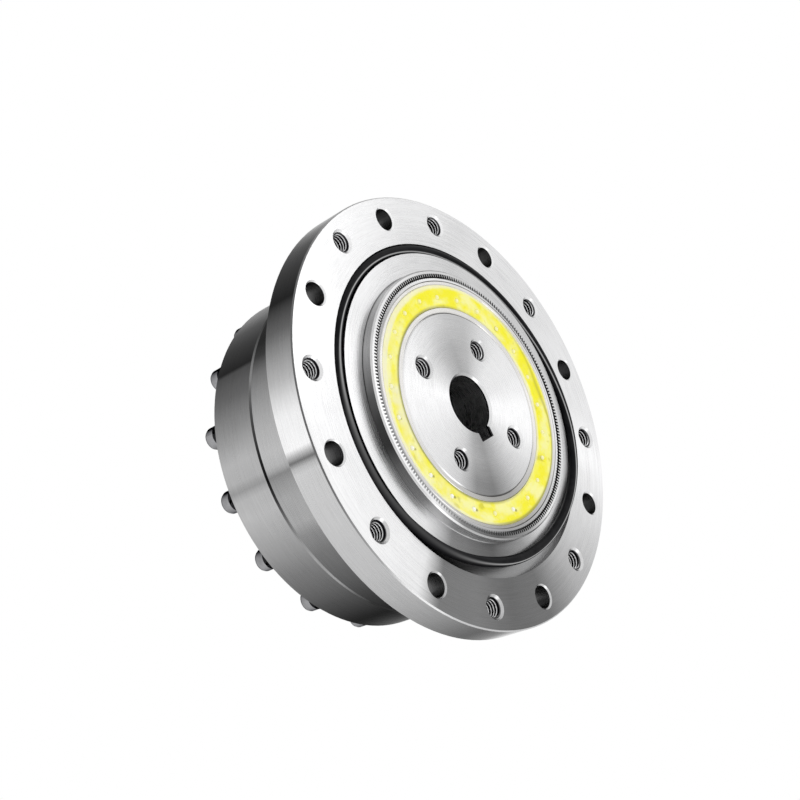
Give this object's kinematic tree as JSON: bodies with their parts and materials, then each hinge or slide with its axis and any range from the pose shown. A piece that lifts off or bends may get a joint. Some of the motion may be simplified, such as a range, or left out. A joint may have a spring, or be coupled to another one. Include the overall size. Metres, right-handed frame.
{
  "type": "strain wave gear",
  "caption": "Cup-type strain wave gear unit with a round fixing flange, an oval wave generator on a ball bearing, a flexible toothed cup and a crossed-roller output flange.",
  "frame": {"origin": "centre of the output flange face, on the axis of rotation; the unit stands on that face", "axes": "+Z along the axis of rotation towards the input side; +X through a plain hole of the fixing flange"},
  "size_m": [0.107, 0.107, 0.0491],
  "materials": {
    "spline_steel": "turned and ground",
    "ring_steel": "ground",
    "screw_steel": "plated",
    "pin_steel": "polished",
    "black_rubber": "satin",
    "seal_rubber": "matte",
    "roller_steel": "polished",
    "spacer_nylon": "matte",
    "output_steel": "turned",
    "cap_steel": "pressed",
    "flex_steel": "machined",
    "plug_steel": "turned",
    "race_steel": "ground",
    "ball_steel": "polished",
    "cage_nylon": "glossy with grease"
  },
  "bodies": {
    "housing": {"circular_spline": "spline_steel", "input_o_ring": "black_rubber", "body_o_ring": "black_rubber", "bearing_outer_ring": "ring_steel", "roller_filling_plug": "ring_steel", "filling_plug_pin": "pin_steel", "ring_screws": "screw_steel", "ring_screw_washers": "screw_steel", "output_oil_seal": "seal_rubber", "seal_garter_spring": "pin_steel"},
    "roller_set": {"cross_rollers": "roller_steel", "roller_spacers": "spacer_nylon"},
    "output": {"output_flange": "output_steel", "output_centre_cap": "cap_steel", "flexspline": "flex_steel", "flexspline_clamp_ring": "output_steel", "flexspline_screws": "screw_steel", "flexspline_dowels": "pin_steel"},
    "wave_generator": {"wave_generator_plug": "plug_steel", "flex_bearing_inner_race": "race_steel", "flex_bearing_outer_race": "race_steel"},
    "ball_set": {"bearing_balls": "ball_steel", "ball_cage": "cage_nylon"}
  },
  "joints": [
    {"name": "wave_generator_spin", "type": "hinge", "parent": "housing", "child": "wave_generator", "pos_m": [0, 0, 0.0441], "axis": [0, 0, 1], "continuous": true, "deforming": ["flexspline", "bearing_balls"]},
    {"name": "output_spin", "type": "hinge", "parent": "housing", "child": "output", "pos_m": [0, 0, 0.0115], "axis": [0, 0, 1], "continuous": true},
    {"name": "ball_set_spin", "type": "hinge", "parent": "housing", "child": "ball_set", "pos_m": [0, 0, 0.0441], "axis": [0, 0, 1], "continuous": true},
    {"name": "roller_set_spin", "type": "hinge", "parent": "housing", "child": "roller_set", "pos_m": [0, 0, 0.0115], "axis": [0, 0, 1], "continuous": true}
  ],
  "couplings": [
    {"joint": "output_spin", "follows": "wave_generator_spin", "ratio": -0.0083333},
    {"joint": "ball_set_spin", "follows": "wave_generator_spin", "ratio": 0.4395},
    {"joint": "roller_set_spin", "follows": "wave_generator_spin", "ratio": -0.00393}
  ]
}
